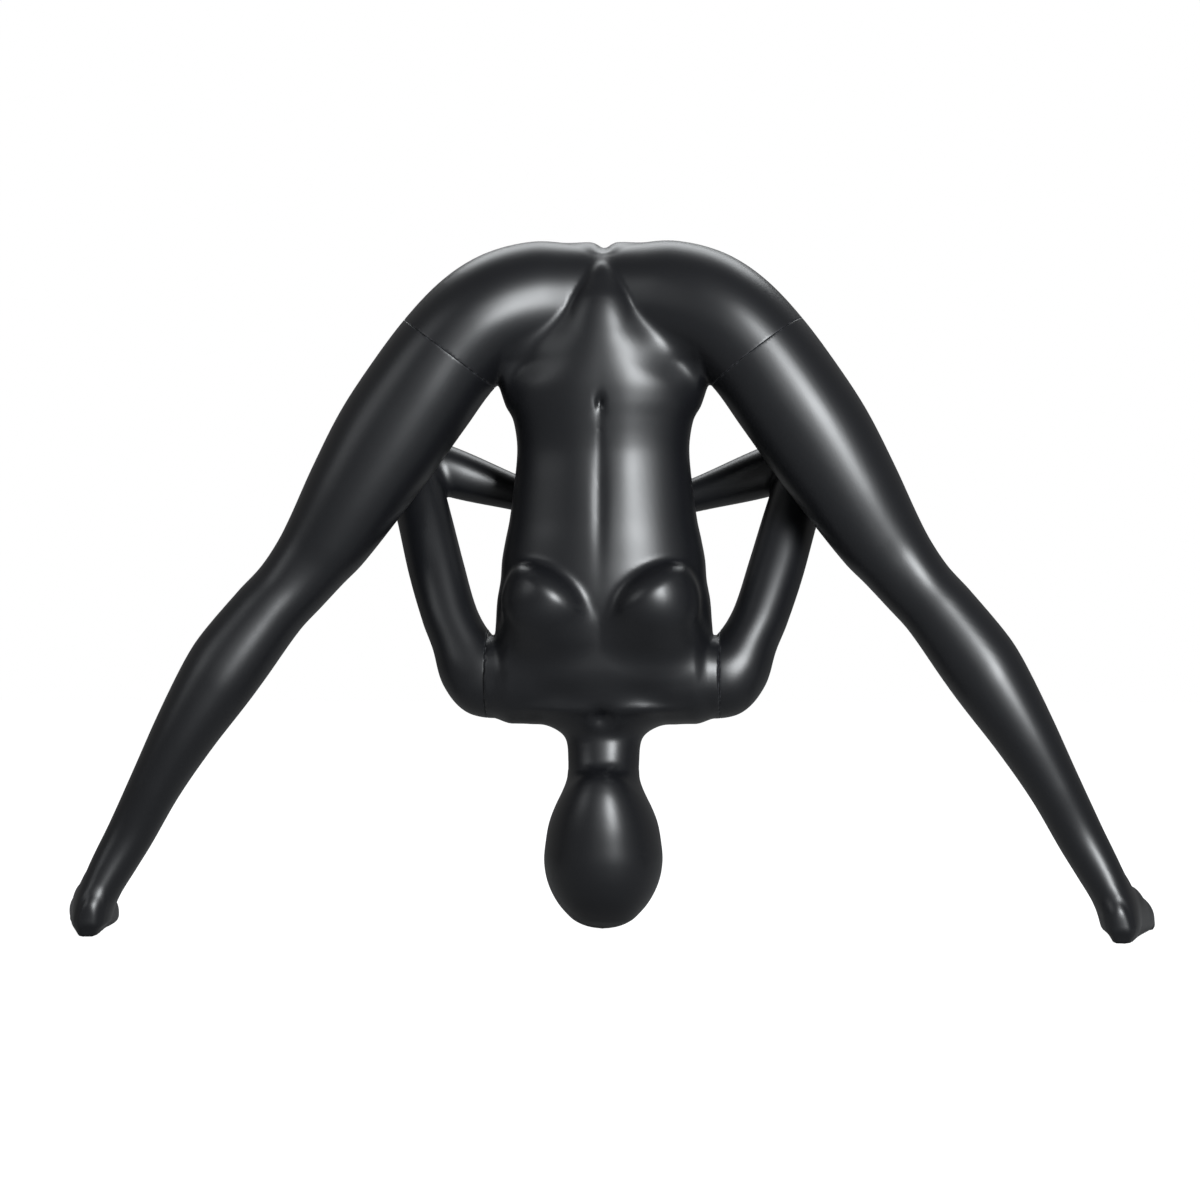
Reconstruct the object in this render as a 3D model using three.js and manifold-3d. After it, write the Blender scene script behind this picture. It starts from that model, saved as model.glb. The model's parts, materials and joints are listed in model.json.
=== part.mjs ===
// Female display mannequin in a wide-legged forward bend: a hollow glass-fibre torso with a blank head,
// two legs and two arms, each limb closed by a board and held by a twist-lock fitting.
// Millimetres, +Z up, heels towards -Y, toes towards +Y. "right" is +X, the mannequin's own right.
import * as THREE from 'three';
import { LoftGeometry } from 'three/addons/geometries/LoftGeometry.js';
import { mergeVertices } from 'three/addons/utils/BufferGeometryUtils.js';
import Module from 'manifold-3d';

const wallThickness = 4; // laminate of every shell
const seamGap = 0.5; // between the two faces of a joint
const fitGap = 0.3; // round a plate in its seat
const boardGap = 1; // resin line round a board, at least
const heelSpread = 662; // from the middle of the figure to the middle of a heel
const hipHeight = 810; // of the hip axis, which the trunk, head and arms hang from
const shoulderSpan = 151; // from the middle of the figure to a shoulder seam
const footLength = 240;
const footSplay = 8; // degrees, toes outwards
const ringPoints = 18; // round a leg or the trunk
const armPoints = 14;
const discSides = 16;
const sectionSpacing = 50; // at most, along a leg or the trunk
const armSpacing = 40;
const hollowCoarseness = 1.8; // the inside of a shell has this much fewer points
const roundness = 2.2; // 2 is an ellipse, more is squarer
const trunkDepthCentre = 105; // Y of the trunk's middle
const headDepthCentre = 103;

// each joint: where it lies along its limb, tilt of its face from level (degrees) and the sizes of its fitting
const thighJoint = {
  name: 'thigh', key: 884, tilt: 37, board: 12, plate: 100, flange: 84, metal: 4,
  stem: 18, barLong: 44, barWide: 12, barThick: 8, lock: 35,
};
const shoulderJoint = {
  name: 'shoulder', key: 56, tilt: 90, board: 10, plate: 66, flange: 56, metal: 4,
  stem: 14, barLong: 32, barWide: 10, barThick: 7, lock: 45,
};

// leg from heel to the middle of the pelvis: [key, x, y, z, tilt, outer, inner, near, far];
// x is drawn to the first row's and z to the last row's, then stretched to heelSpread and hipHeight
const legStations = [
  [0, 662, 50, 18, 0, 26, 25, 40, 36],
  [45, 656, 53, 42, 10, 28, 26, 40, 40],
  [68, 650, 56, 66, 28, 31, 26, 37, 38],
  [140, 609, 61, 127, 34, 36.5, 25.5, 35, 35],
  [215, 567, 64, 189, 34, 43.5, 24, 46, 37],
  [290, 525, 68, 251, 34, 56.5, 25, 58, 40],
  [365, 482, 72, 313, 34, 68, 29, 64, 44],
  [405, 460, 74, 346, 34, 69.5, 30.5, 62, 46],
  [480, 418, 77, 408, 34, 62.5, 31, 52, 53],
  [520, 395, 79, 441, 34, 57.5, 36, 48, 60],
  [560, 373, 81, 474, 34, 57.5, 42.5, 50, 61],
  [595, 353, 83, 503, 34, 62, 49, 56, 61],
  [665, 314, 86, 561, 34, 73.5, 55, 68, 64],
  [745, 269, 90, 627, 34.5, 84, 59, 78, 69],
  [820, 227, 94, 689, 36, 85.5, 60.5, 84, 77],
  [885, 190, 97, 743, 38, 83, 62, 86, 86],
  [940, 152, 100, 782, 46, 84, 66, 86, 98],
  [985, 113, 102, 800, 60, 90, 68, 80, 113],
  [1030, 70, 103, 808, 75, 91, 70, 68, 120],
  [1066, 34, 104, 810, 84, 84, 72, 56, 112],
  [1100, 0, 104, 810, 90, 78, 72, 44, 98],
];
// trunk and neck, downwards in the bend: [height, half width, belly side, back side]
const trunkStations = [
  [172, 44, 36, 54], [213, 46, 34, 58], [235, 46.5, 36, 60], [255, 50, 42, 64], [275, 62, 48, 72],
  [295, 86, 54, 82], [320, 116, 60, 92], [350, 136, 68, 100], [383, 141, 78, 105], [404, 140, 84, 105],
  [430, 138, 88, 103], [456, 133.5, 88, 99], [482, 131.5, 86, 94], [507, 127, 84, 88], [533, 121.5, 81, 80],
  [585, 114.5, 77, 70], [617, 111.5, 75, 68], [637, 112, 76, 70], [662, 116.5, 79, 74], [685, 125, 82, 79],
  [708, 134, 84, 86], [735, 124, 84, 90], [772, 84, 82, 90], [815, 58, 76, 82], [850, 40, 64, 66], [878, 22, 40, 40],
];
// egg head, crown at the floor: [height, half width, face side, back side]
const headStations = [
  [6, 10, 12, 12], [11, 26, 32, 31], [20, 41, 51, 48], [40, 59, 73, 72], [65, 71.5, 85, 88],
  [92, 76.5, 91, 96], [118, 74.5, 92, 98], [144, 69.5, 91, 92], [170, 59, 87, 76], [190, 47, 80, 58],
  [204, 34, 70, 44], [212, 18, 54, 32],
];
// shoulder bridge: [distance from the middle, height, towards the waist, towards the neck, belly side, back side]
const yokeStations = [
  [0, 331, 70, 70, 58, 88], [60, 331, 70, 64, 58, 86], [100, 331, 66, 58, 56, 78], [151, 331, 50, 51, 48, 58],
];
// upper arm from inside the shoulder to the elbow: [key, x, y, z, outer, inner, near, far]
const upperArmStations = [
  [0, 95, 110, 328, 46, 44, 44, 52], [56, 151, 112, 331, 54, 52, 50, 60], [86, 175, 116, 346, 44, 49, 49, 58],
  [118, 188, 122, 378, 38, 38, 44, 52], [152, 203, 131, 410, 36, 36, 41, 46], [217, 222, 152, 470, 37, 36, 38, 41],
  [290, 242, 182, 540, 36, 35, 37, 38], [347, 260, 209, 595, 35, 35, 36, 36], [382, 271, 224, 624, 33, 33, 33, 33],
  [404, 277, 231, 643, 22, 22, 22, 22],
];
// forearm from the elbow to the heel of the hand
const forearmStations = [
  [0, 296, 227, 632, 14, 14, 14, 14], [14, 283, 227, 629, 28, 28, 28, 28], [38, 262, 228, 619, 33, 33, 33, 33],
  [98, 204, 232, 599, 32, 33, 34, 34], [183, 121, 240, 573, 22, 24, 26, 26], [240, 66, 247, 556, 19, 19, 27, 27],
  [275, 34, 250, 543, 14, 17, 27, 27],
];
// palm, from the wrist towards the fingertips: [height, x, y, half thickness, half width]
const palmStations = [
  [452, 13, 250, 9, 38], [480, 14, 250, 11.5, 41], [515, 15.5, 250, 13.5, 38], [545, 18, 250, 14, 31],
  [566, 22, 250, 11, 24],
];
const fingers = [[217, 384], [239, 366], [261, 360], [281, 372]]; // Y and tip height of each
const fingerRadius = 8.6;
const breast = { x: 68, y: 44, z: 430, wide: 54, deep: 62, waistward: 54, neckward: 92 };
const cleft = { y: 232, z: 812, wide: 7, deep: 50, tall: 70 };
// foot: [distance from the heel, half width, height of the middle, upwards]
const footStations = [
  [0, 11, 22, 14], [6, 21, 30, 26], [22, 28, 36, 38], [50, 30, 38, 44], [85, 31, 30, 44], [120, 34, 22, 33],
  [160, 38, 15, 24], [184, 38, 12, 18], [202, 33, 10, 13], [214, 24, 9, 8],
];
// toes, big toe first: [across from the foot's line, start, tip, radius at each end]
const toes = [
  [-23, 186, 240, 12.5, 10], [-4, 192, 235, 9.5, 8], [9.5, 190, 229, 9, 7.5], [22, 186, 220, 8.5, 7], [32, 178, 208, 8, 6.5],
];

const wasm = await Module();
wasm.setup();

const radians = (degrees) => degrees * Math.PI / 180;
const vector = (x, y, z) => new THREE.Vector3(x, y, z);

// Smooth curve through the rows of a station table, every column at once, at one value of the first.
function between(rows, key) {
  const end = rows.length - 1;
  let i = 0;
  while (i < end - 1 && key > rows[i + 1][0]) i += 1;
  const here = rows[i];
  const next = rows[i + 1];
  const before = rows[Math.max(i - 1, 0)];
  const after = rows[Math.min(i + 2, end)];
  const span = next[0] - here[0];
  const u = (key - here[0]) / span;
  return here.map((value, c) => {
    const leave = (next[c] - before[c]) / (next[0] - before[0]) * span;
    const arrive = (after[c] - value) / (after[0] - here[0]) * span;
    const a = 2 * u ** 3 - 3 * u ** 2 + 1;
    const b = u ** 3 - 2 * u ** 2 + u;
    const d = u ** 3 - u ** 2;
    return a * value + b * leave + (1 - a) * next[c] + d * arrive;
  });
}

// Keys of a table: every row's, with more between rows that are further apart than the spacing.
function keysAlong(rows, spacing) {
  const keys = [rows[0][0]];
  rows.slice(1).forEach(([key], k) => {
    const before = rows[k][0];
    const steps = Math.ceil((key - before) / spacing);
    for (let i = 1; i <= steps; i += 1) keys.push(before + (key - before) * i / steps);
  });
  return keys;
}

const last = (rows) => rows[rows.length - 1];
const lift = hipHeight - last(legStations)[3];
const widen = shoulderSpan - last(yokeStations)[0];
const wrist = last(forearmStations)[1];
const reach = 1 + widen / (forearmStations[0][1] - wrist);

// The tables at the figure's own sizes.
const legRows = legStations.map(([key, x, y, z, ...rest]) => {
  const stretched = [x * heelSpread / legStations[0][1], y, z * hipHeight / last(legStations)[3]];
  return [key, ...stretched, ...rest];
});
const trunkRows = trunkStations.map(([z, ...rest]) => [z + lift, ...rest]);
const headRows = headStations.map(([z, ...rest]) => [z + lift, ...rest]);
const yokeRows = yokeStations.map(([x, z, ...rest]) => [x * shoulderSpan / last(yokeStations)[0], z + lift, ...rest]);
const upperArmRows = upperArmStations.map(([key, x, y, z, ...rest]) => [key, x + widen, y, z + lift, ...rest]);
const forearmRows = forearmStations.map(([key, x, y, z, ...rest]) => [
  key, wrist + (x - wrist) * reach, y, z + lift, ...rest,
]);
const palmRows = palmStations.map(([z, ...rest]) => [z + lift, ...rest]);

// Middle of a joint's seam, on its limb's own path.
const [, thighX, thighY, thighZ, , thighOuter, thighInner] = between(legRows, thighJoint.key);
const recentre = (thighOuter - thighInner) / 2;
thighJoint.centre = [
  thighX + recentre * Math.cos(radians(thighJoint.tilt)), thighY, thighZ + recentre * Math.sin(radians(thighJoint.tilt)),
];
shoulderJoint.centre = between(upperArmRows, shoulderJoint.key).slice(1, 4);

// One closed section: four quarter superellipses about a centre.
function section(centre, outward, deepward, sizes, count) {
  const [outer, inner, near, far] = sizes;
  const points = [];
  for (let k = 0; k < count; k += 1) {
    const angle = 2 * Math.PI * k / count;
    const c = Math.cos(angle);
    const s = Math.sin(angle);
    const across = (c > 0 ? outer : inner) * Math.sign(c) * Math.abs(c) ** (2 / roundness);
    const along = (s > 0 ? far : near) * Math.sign(s) * Math.abs(s) ** (2 / roundness);
    points.push(centre.clone().addScaledVector(outward, across).addScaledVector(deepward, along));
  }
  return points;
}

// Signed volume of a triangle soup, to tell its winding.
function signedVolume(positions, index) {
  let sum = 0;
  const [a, b, c] = [vector(), vector(), vector()];
  for (let k = 0; k < index.length; k += 3) {
    a.fromArray(positions, index[k] * 3);
    b.fromArray(positions, index[k + 1] * 3);
    c.fromArray(positions, index[k + 2] * 3);
    sum += a.dot(b.cross(c));
  }
  return sum / 6;
}

// A geometry as a solid, with its faces outwards.
function toSolid(geometry) {
  const bare = new THREE.BufferGeometry();
  bare.setAttribute('position', geometry.getAttribute('position'));
  bare.setIndex(geometry.getIndex());
  const merged = mergeVertices(bare, 1e-4);
  const positions = merged.attributes.position.array;
  const index = Array.from(merged.index.array);
  if (signedVolume(positions, index) < 0) index.reverse();
  const mesh = new wasm.Mesh({
    numProp: 3, vertProperties: Float32Array.from(positions), triVerts: Uint32Array.from(index),
  });
  return new wasm.Manifold(mesh);
}

function toGeometry(solid) {
  const mesh = solid.getMesh();
  const geometry = new THREE.BufferGeometry();
  geometry.setAttribute('position', new THREE.BufferAttribute(Float32Array.from(mesh.vertProperties), 3));
  geometry.setIndex(Array.from(mesh.triVerts));
  return geometry;
}

// Points round a section and spacing between sections; the inside of a shell is plainer than its outside.
function fineness(count, spacing, inset) {
  const factor = inset > 0 ? hollowCoarseness : 1;
  return [2 * Math.round(count / factor / 2), spacing * factor];
}

const join = (solids) => solids.reduce((sum, solid) => sum.add(solid));

// Middle and facing direction of one section.
function facing(points) {
  const middle = points.reduce((sum, point) => sum.add(point), vector()).divideScalar(points.length);
  const normal = vector();
  points.forEach((point, k) => {
    const next = points[(k + 1) % points.length];
    normal.add(point.clone().sub(middle).cross(next.clone().sub(middle)));
  });
  return { middle, normal };
}

// A closed skin through sections, wound so that it faces outwards.
function loft(sections) {
  const start = facing(sections[0]);
  const onward = facing(sections[1]).middle.sub(start.middle);
  const wound = start.normal.dot(onward) > 0 ? sections : sections.map((points) => points.slice().reverse());
  return toSolid(new LoftGeometry(wound, { capStart: true, capEnd: true }));
}

// Both legs and the pelvis in one sweep, from heel to heel, shrunk all round by an inset.
function legArch(inset) {
  const [count, spacing] = fineness(ringPoints, sectionSpacing, inset);
  const half = keysAlong(legRows, spacing).map((key) => {
    const [, x, y, z, tilt, outer, inner, near, far] = between(legRows, key);
    const sizes = [outer, inner, near, far].map((size) => size - inset);
    return { x, y, z, tilt: radians(tilt), sizes };
  });
  const place = (row, side) => {
    const outward = vector(side * Math.cos(row.tilt), 0, Math.sin(row.tilt));
    return section(vector(side * row.x, row.y, row.z), outward, vector(0, 1, 0), row.sizes, count);
  };
  const right = half.map((row) => place(row, 1));
  const left = half.slice(0, -1).reverse().map((row) => place(row, -1));
  return loft([...right, ...left]);
}

// Trunk with the neck: level sections stacked up the body.
function stack(rows, depthCentre, inset) {
  const [count, spacing] = fineness(ringPoints, sectionSpacing, inset);
  return loft(keysAlong(rows, spacing).map((key) => {
    const [height, wide, near, far] = between(rows, key);
    const sizes = [wide, wide, near, far].map((size) => Math.max(size - inset, 2));
    return section(vector(0, depthCentre, height), vector(1, 0, 0), vector(0, 1, 0), sizes, count);
  }));
}

// Bridge across the shoulders.
function yoke(inset) {
  const [count, spacing] = fineness(ringPoints, sectionSpacing, inset);
  const half = keysAlong(yokeRows, spacing).map((key) => between(yokeRows, key));
  const place = ([x, height, up, down, near, far], side) => {
    const sizes = [up, down, near, far].map((size) => size - inset);
    return section(vector(side * x, trunkDepthCentre, height), vector(0, 0, 1), vector(0, 1, 0), sizes, count);
  };
  const left = half.slice(1).reverse().map((row) => place(row, -1));
  return loft([...left, ...half.map((row) => place(row, 1))]);
}

// A limb swept along its own curve, with sections square to it.
function limb(rows, inset) {
  const centreAt = (key) => vector(...between(rows, key).slice(1, 4));
  const [first, final] = [rows[0][0], last(rows)[0]];
  const [count, spacing] = fineness(armPoints, armSpacing, inset);
  return loft(keysAlong(rows, spacing).map((key) => {
    const ahead = centreAt(Math.min(key + 1, final)).sub(centreAt(Math.max(key - 1, first))).normalize();
    const deepward = vector(0, 1, 0).addScaledVector(ahead, -ahead.y).normalize();
    const outward = vector().crossVectors(deepward, ahead);
    const sizes = between(rows, key).slice(4).map((size) => Math.max(size - inset, 2));
    return section(centreAt(key), outward, deepward, sizes, count);
  }));
}

// Tapered rod with a rounded tip, for a finger or a toe.
function digit(from, to, radius, tipRadius) {
  const ahead = vector().subVectors(to, from);
  const length = ahead.length();
  const profile = [
    [0, 0], [radius, 0], [(radius + tipRadius) / 2, length * 0.55], [tipRadius, length - tipRadius],
    [tipRadius * 0.75, length - tipRadius * 0.35], [0, length],
  ];
  const geometry = new THREE.LatheGeometry(profile.map(([r, h]) => new THREE.Vector2(r, h)), 8);
  geometry.applyQuaternion(new THREE.Quaternion().setFromUnitVectors(vector(0, 1, 0), ahead.normalize()));
  geometry.translate(from.x, from.y, from.z);
  return toSolid(geometry);
}

// Foot: sections across its length and five toes, cut flat at the floor.
function foot() {
  const splay = radians(footSplay);
  const along = vector(Math.sin(splay), Math.cos(splay), 0);
  const across = vector(Math.cos(splay), -Math.sin(splay), 0);
  const scale = footLength / toes[0][2];
  const spot = (distance, side, height) => vector(heelSpread, 4, height)
    .addScaledVector(along, distance * scale).addScaledVector(across, side);
  const blank = loft(keysAlong(footStations, 30).map((key) => {
    const [distance, wide, height, tall] = between(footStations, key);
    return section(spot(distance, 0, height), across, vector(0, 0, 1), [wide, wide, height + 3, tall], armPoints);
  }));
  const rods = toes.map(([side, start, tip, radius, tipRadius]) => (
    digit(spot(start, side, radius - 1), spot(tip, side * 0.96, tipRadius - 0.5), radius, tipRadius)
  ));
  const floor = new THREE.BoxGeometry(400, 600, 60);
  floor.translate(heelSpread, 120, -30);
  return join([blank, ...rods]).subtract(toSolid(floor));
}

// Palm, four fingers and thumb of the right hand, laid flat against the other hand behind the back.
function hand() {
  const palm = loft(palmRows.map(([height, x, y, thick, wide]) => section(
    vector(x, y, height), vector(1, 0, 0), vector(0, 1, 0), [thick, thick, wide, wide], armPoints,
  )));
  const straight = fingers.map(([y, tip]) => (
    digit(vector(13, y, 470 + lift), vector(11.5, y * 0.97 + 7.5, tip + lift), fingerRadius, fingerRadius * 0.85)
  ));
  const thumb = digit(vector(18, 276, 536 + lift), vector(20, 306, 478 + lift), fingerRadius * 1.2, fingerRadius);
  return join([palm, ...straight, thumb]);
}

// Each breast is a ball drawn out towards the neck.
function breasts(inset) {
  return [-1, 1].map((side) => {
    const [round, rows] = inset > 0 ? [10, 7] : [16, 10];
    const form = new THREE.SphereGeometry(1, round, rows).rotateX(Math.PI / 2);
    const spots = form.getAttribute('position');
    for (let k = 0; k < spots.count; k += 1) {
      const tall = spots.getZ(k) > 0 ? breast.waistward : breast.neckward;
      const [x, y, z] = [breast.wide, breast.deep, tall].map((size) => size - inset);
      spots.setXYZ(k, spots.getX(k) * x, spots.getY(k) * y, spots.getZ(k) * z);
    }
    return toSolid(form.translate(side * breast.x, breast.y, breast.z + lift));
  });
}

// The lens cut between the buttocks, grown by a margin.
function cleftLens(margin) {
  const lens = new THREE.SphereGeometry(1, 8, 8);
  lens.scale(cleft.wide + margin, cleft.deep + margin, cleft.tall + margin);
  return toSolid(lens.translate(0, cleft.y, cleft.z + lift));
}

// Joint placement: local Z runs down the limb, local X outwards across the seam.
function jointMatrix(joint) {
  const tilt = radians(joint.tilt);
  const outward = vector(Math.cos(tilt), 0, Math.sin(tilt));
  const along = vector(Math.sin(tilt), 0, -Math.cos(tilt));
  const matrix = new THREE.Matrix4().makeBasis(outward, vector().crossVectors(along, outward), along);
  return matrix.setPosition(...joint.centre);
}

function placed(geometry, joint) {
  return toSolid(geometry.applyMatrix4(jointMatrix(joint)));
}

// A slab across a joint between two distances down the limb.
function slab(joint, from, to, size = 900) {
  const geometry = new THREE.BoxGeometry(size, size, to - from);
  return placed(geometry.translate(0, 0, (from + to) / 2), joint);
}

function disc(joint, diameter, from, to) {
  const geometry = new THREE.CylinderGeometry(diameter / 2, diameter / 2, to - from, discSides);
  geometry.rotateX(Math.PI / 2).translate(0, 0, (from + to) / 2);
  return placed(geometry, joint);
}

// A bar or slot across the joint axis, turned about it.
function bar(joint, long, wide, from, to, turn) {
  const geometry = new THREE.BoxGeometry(long, wide, to - from);
  geometry.rotateZ(radians(turn)).translate(0, 0, (from + to) / 2);
  return placed(geometry, joint);
}

// The inside of a limb about its joint, smaller by the resin line round a board.
function boardBlank(hollow, joint) {
  const [x, y, z] = joint.centre;
  const factor = 1 - boardGap / (joint.plate / 2);
  return hollow.translate([-x, -y, -z]).scale(factor).translate([x, y, z]);
}

// Fixed side: board in the torso's end, with a recessed keyhole plate.
function torsoBoard(joint, blank) {
  const face = -seamGap / 2;
  const body = blank.intersect(slab(joint, face - joint.board, face, 400));
  const seat = disc(joint, joint.plate + 2 * fitGap, face - joint.metal - fitGap, face + 1);
  const bore = disc(joint, joint.barLong + 10, face - joint.board - 1, face);
  return body.subtract(seat).subtract(bore);
}

function socketPlate(joint) {
  const face = -seamGap / 2;
  const plate = disc(joint, joint.plate, face - joint.metal, face);
  const hole = disc(joint, joint.stem + 4, face - joint.metal - 1, face + 1);
  const slot = bar(joint, joint.barLong + 3, joint.barWide + 3, face - joint.metal - 1, face + 1, joint.lock);
  return plate.subtract(hole).subtract(slot);
}

// Limb side: board, and flanged stud with its cross bar behind the plate.
function limbBoard(joint, blank) {
  const face = seamGap / 2;
  const body = blank.intersect(slab(joint, face, face + joint.board, 400));
  return body.subtract(disc(joint, joint.flange + 2 * fitGap, face - 1, face + joint.metal + fitGap));
}

function stud(joint) {
  const face = seamGap / 2;
  const behind = -seamGap / 2 - joint.metal - fitGap;
  const flange = disc(joint, joint.flange, face, face + joint.metal);
  const stem = disc(joint, joint.stem, behind - joint.barThick, face + joint.metal / 2);
  return join([flange, stem, bar(joint, joint.barLong, joint.barWide, behind - joint.barThick, behind, 0)]);
}

const gelCoat = { color: 0x16171a, roughness: 0.32, metalness: 0 };
const plywood = { color: 0xb28b5c, roughness: 0.7, metalness: 0 };
const zincSteel = { color: 0xa9adb2, roughness: 0.38, metalness: 0.9 };

const group = new THREE.Group();

function addNode(name, solid, look) {
  const mesh = new THREE.Mesh(toGeometry(solid), new THREE.MeshStandardMaterial(look));
  mesh.name = name;
  group.add(mesh);
}

// The same solid on the mannequin's left, or unchanged on its right.
const onSide = (solid, side) => (side === 'left' ? solid.mirror([1, 0, 0]) : solid);

const beyond = (joint, from = seamGap / 2) => slab(joint, from, 1300);

const arch = legArch(0);
const archHollow = legArch(wallThickness);
const upperArm = limb(upperArmRows, 0);
const upperArmHollow = limb(upperArmRows, wallThickness);

// The torso's share of the leg arch: all that is above both thigh joints.
function torsoShare(shape, reach) {
  const thigh = slab(thighJoint, reach, 1300);
  return shape.subtract(thigh).subtract(thigh.mirror([1, 0, 0]));
}

function armRoot(shape, reach) {
  const root = shape.intersect(slab(shoulderJoint, -200, reach, 420));
  return [root, root.mirror([1, 0, 0])];
}

// What the limbs take up past their seams, so that a wider trunk is cut back to clear them.
const legRoom = legArch(-seamGap).intersect(beyond(thighJoint, -seamGap / 2));
const armRoom = limb(upperArmRows, -seamGap).intersect(slab(shoulderJoint, -seamGap / 2, 400, 1200));
const limbRoom = join([legRoom, legRoom.mirror([1, 0, 0]), armRoom, armRoom.mirror([1, 0, 0])]);

const torsoOuter = join([
  torsoShare(arch, -seamGap / 2), stack(trunkRows, trunkDepthCentre, 0),
  stack(headRows, headDepthCentre, 0), yoke(0), ...breasts(0), ...armRoot(upperArm, -seamGap / 2),
]).subtract(cleftLens(0)).subtract(limbRoom);
const torsoHollow = join([
  torsoShare(archHollow, 5), stack(trunkRows, trunkDepthCentre, wallThickness),
  stack(headRows, headDepthCentre, wallThickness), yoke(wallThickness), ...breasts(wallThickness),
  ...armRoot(upperArmHollow, 5),
]).subtract(cleftLens(wallThickness));
addNode('torso_shell', torsoOuter.subtract(torsoHollow), gelCoat);

const legOuter = arch.intersect(beyond(thighJoint)).add(foot());
const ankleCut = toSolid(new THREE.BoxGeometry(4 * heelSpread, 600, 200).translate(0, 100, -15));
const legHollow = archHollow.intersect(slab(thighJoint, -5, 1300)).subtract(ankleCut);
const legShell = legOuter.subtract(legHollow);
const armOuter = upperArm.intersect(slab(shoulderJoint, seamGap / 2, 400, 1200)).add(limb(forearmRows, 0)).add(hand());
const armHollow = upperArmHollow.intersect(slab(shoulderJoint, -5, 400, 1200));
const armShell = armOuter.subtract(armHollow);

const archBlank = boardBlank(archHollow, thighJoint);
const armBlank = boardBlank(upperArmHollow, shoulderJoint);
for (const side of ['left', 'right']) {
  addNode(`leg_shell_${side}`, onSide(legShell, side), gelCoat);
  addNode(`arm_shell_${side}`, onSide(armShell, side), gelCoat);
  for (const [joint, blank, limbName] of [[thighJoint, archBlank, 'leg'], [shoulderJoint, armBlank, 'arm']]) {
    addNode(`${joint.name}_board_${side}`, onSide(torsoBoard(joint, blank), side), plywood);
    addNode(`${joint.name}_socket_${side}`, onSide(socketPlate(joint), side), zincSteel);
    addNode(`${limbName}_board_${side}`, onSide(limbBoard(joint, blank), side), plywood);
    addNode(`${limbName}_stud_${side}`, onSide(stud(joint), side), zincSteel);
  }
}

// The origin is the middle of the bounding box's underside.
const box = new THREE.Box3().setFromObject(group);
const middle = box.getCenter(vector());
group.children.forEach((mesh) => mesh.geometry.translate(0, -middle.y, -box.min.z));

export default group;
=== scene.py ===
# Black display mannequin in a wide-legged forward bend: torso, two legs and two arms of painted glass fibre.
import bpy
import bmesh
import json
import math
import numpy as np
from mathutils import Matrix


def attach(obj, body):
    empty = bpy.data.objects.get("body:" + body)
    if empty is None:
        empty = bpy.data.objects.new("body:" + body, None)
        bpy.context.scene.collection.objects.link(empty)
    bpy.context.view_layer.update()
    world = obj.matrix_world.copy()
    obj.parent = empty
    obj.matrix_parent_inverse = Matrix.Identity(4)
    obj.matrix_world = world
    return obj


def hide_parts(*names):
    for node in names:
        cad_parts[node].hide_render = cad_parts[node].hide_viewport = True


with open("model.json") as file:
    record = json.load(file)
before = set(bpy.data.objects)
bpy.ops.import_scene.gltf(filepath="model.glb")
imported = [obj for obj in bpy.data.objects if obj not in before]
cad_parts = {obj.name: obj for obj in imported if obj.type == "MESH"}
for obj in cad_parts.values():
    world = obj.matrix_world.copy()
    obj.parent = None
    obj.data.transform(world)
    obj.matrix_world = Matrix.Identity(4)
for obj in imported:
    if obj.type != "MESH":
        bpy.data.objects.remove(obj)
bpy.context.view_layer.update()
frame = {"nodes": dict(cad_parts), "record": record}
joints = {joint["name"]: joint for joint in frame["record"]["behaviour"]["joints"]}
shoulderAt = np.array(joints["arm_twist_right"]["pos_m"]) * 1000
thighAt = np.array(joints["leg_twist_right"]["pos_m"]) * 1000

body = {
    "originY": 112 - shoulderAt[1],  # mm from the sections' own start, just behind the heels, to the frame's origin
    "roundness": 2.2,  # 2 is an ellipse, more is squarer
    "thighTilt": 37,  # degrees, face of the thigh joint from level
    "seamGap": 0.1,  # mm left open between two faces that seat on each other
    "overrun": 12,  # mm a blank runs past its seam before it is cut
    "torsoStep": 3.7,  # mm between points of a skin
    "legStep": 3.6,
    "armStep": 2.7,
}


def alongTable(rows, keys):  # cubic curve through the rows, leaving each row along the line between its neighbours
    rows = np.asarray(rows, float)
    keys = np.asarray(keys, float)
    at = np.clip(np.searchsorted(rows[:, 0], keys, side="right") - 1, 0, len(rows) - 2)
    here, after = rows[at], rows[at + 1]
    before, beyond = rows[np.maximum(at - 1, 0)], rows[np.minimum(at + 2, len(rows) - 1)]
    span = after[:, :1] - here[:, :1]
    u = (keys[:, None] - here[:, :1]) / span
    leave = (after - before) / (after[:, :1] - before[:, :1]) * span
    arrive = (beyond - here) / (beyond[:, :1] - here[:, :1]) * span
    a = 2 * u ** 3 - 3 * u ** 2 + 1
    return a * here + (u ** 3 - 2 * u ** 2 + u) * leave + (1 - a) * after + (u ** 3 - u ** 2) * arrive


def unit(rows):  # each row divided by its own length
    return rows / np.linalg.norm(rows, axis=-1, keepdims=True)


def makeSweep(centres, outward, deepward, sizes):  # sections along a path, each recentred between its four reaches
    sizes = np.asarray(sizes, float)
    centres = centres + outward * ((sizes[:, 0] - sizes[:, 1]) / 2)[:, None]
    centres = centres + deepward * ((sizes[:, 3] - sizes[:, 2]) / 2)[:, None]
    half = np.stack([(sizes[:, 0] + sizes[:, 1]) / 2, (sizes[:, 2] + sizes[:, 3]) / 2], 1)
    ahead = unit(np.cross(outward, deepward))
    step = np.gradient(centres, axis=0)
    ahead *= np.sign((ahead * step).sum(1))[:, None]
    pitch = (step * ahead).sum(1)
    return {"centre": centres, "out": outward, "deep": deepward, "ahead": ahead, "pitch": pitch, "half": half,
            "turn": np.gradient(ahead, axis=0), "slope": np.gradient(half, axis=0) / pitch[:, None]}


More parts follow.
